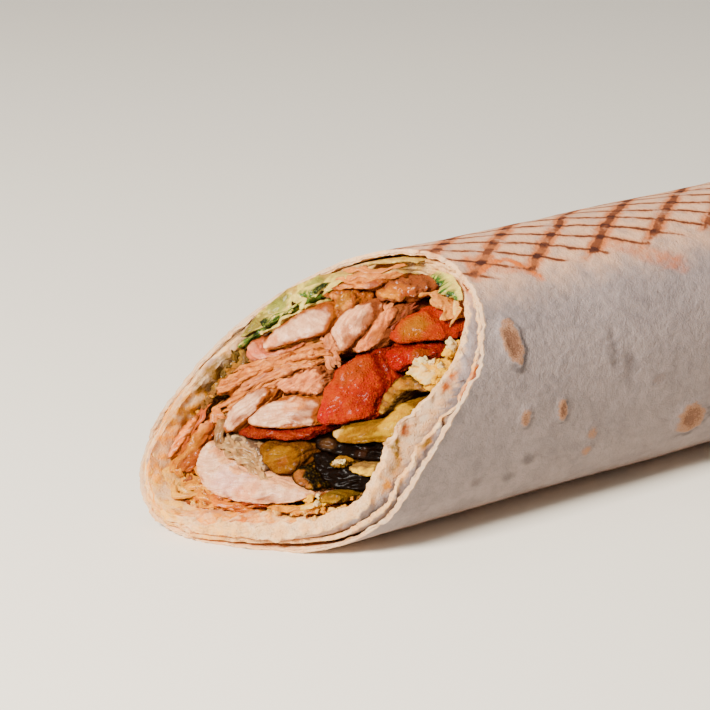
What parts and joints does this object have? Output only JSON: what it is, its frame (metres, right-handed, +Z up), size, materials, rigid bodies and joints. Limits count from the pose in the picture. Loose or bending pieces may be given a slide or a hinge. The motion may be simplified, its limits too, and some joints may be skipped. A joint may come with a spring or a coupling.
{
  "type": "meat shawarma wrap",
  "caption": "Rolled flatbread wrap lying on its side, cut on a slant at one end to show roast chicken, tomato, pickles and lettuce, folded shut at the other.",
  "frame": {"origin": "middle of the whole box's bottom, on the surface that the wrap rests on", "axes": "+X along the roll from the slanted cut to the folded end, +Y across it, +Z up"},
  "size_m": [0.2004, 0.06, 0.0587],
  "materials": {
    "flatbread": "matte baked wheat flatbread, pale with toasted spots and grill marks",
    "chicken": "moist sliced roast chicken, pale inside",
    "roast": "browned and marinated chicken, oily",
    "tomato": "wet tomato flesh",
    "pickle": "wet pickled cucumber and pepper",
    "dark_pickle": "dark wet pickle skin in shade",
    "lettuce": "crisp lettuce and cabbage",
    "cheese": "crumbly soft white cheese and onion",
    "sauce": "thick yellow sauce"
  },
  "bodies": {
    "root": {"flatbread": "flatbread", "chicken_block": "chicken", "chicken_pink": "chicken", "chicken_top": "chicken", "chicken_pale": "chicken", "chicken_upright": "chicken", "chicken_shred_far": "chicken", "chicken_shred_mid": "chicken", "chicken_centre": "chicken", "chicken_oblong": "chicken", "chicken_wedge": "chicken", "chicken_slab": "chicken", "chicken_edge": "chicken", "chicken_fatty": "roast", "chicken_tan": "roast", "chicken_glazed": "roast", "chicken_curls": "roast", "tomato_large": "tomato", "tomato_upper": "tomato", "tomato_lobe": "tomato", "tomato_strip": "tomato", "pickle_yellow": "pickle", "pickle_olive": "pickle", "pepper_golden": "pickle", "pepper_tail": "pickle", "pepper_dice": "pickle", "pickle_dark_upper": "dark_pickle", "pickle_dark_lower": "dark_pickle", "pickle_skin": "dark_pickle", "lettuce_outer": "lettuce", "lettuce_inner": "lettuce", "lettuce_near": "lettuce", "cabbage_pocket": "lettuce", "cheese_crumble": "cheese", "cheese_chip": "cheese", "cheese_crumbs": "cheese", "onion_chip": "cheese", "onion_strip": "cheese", "sauce_pool": "sauce"}
  },
  "joints": []
}
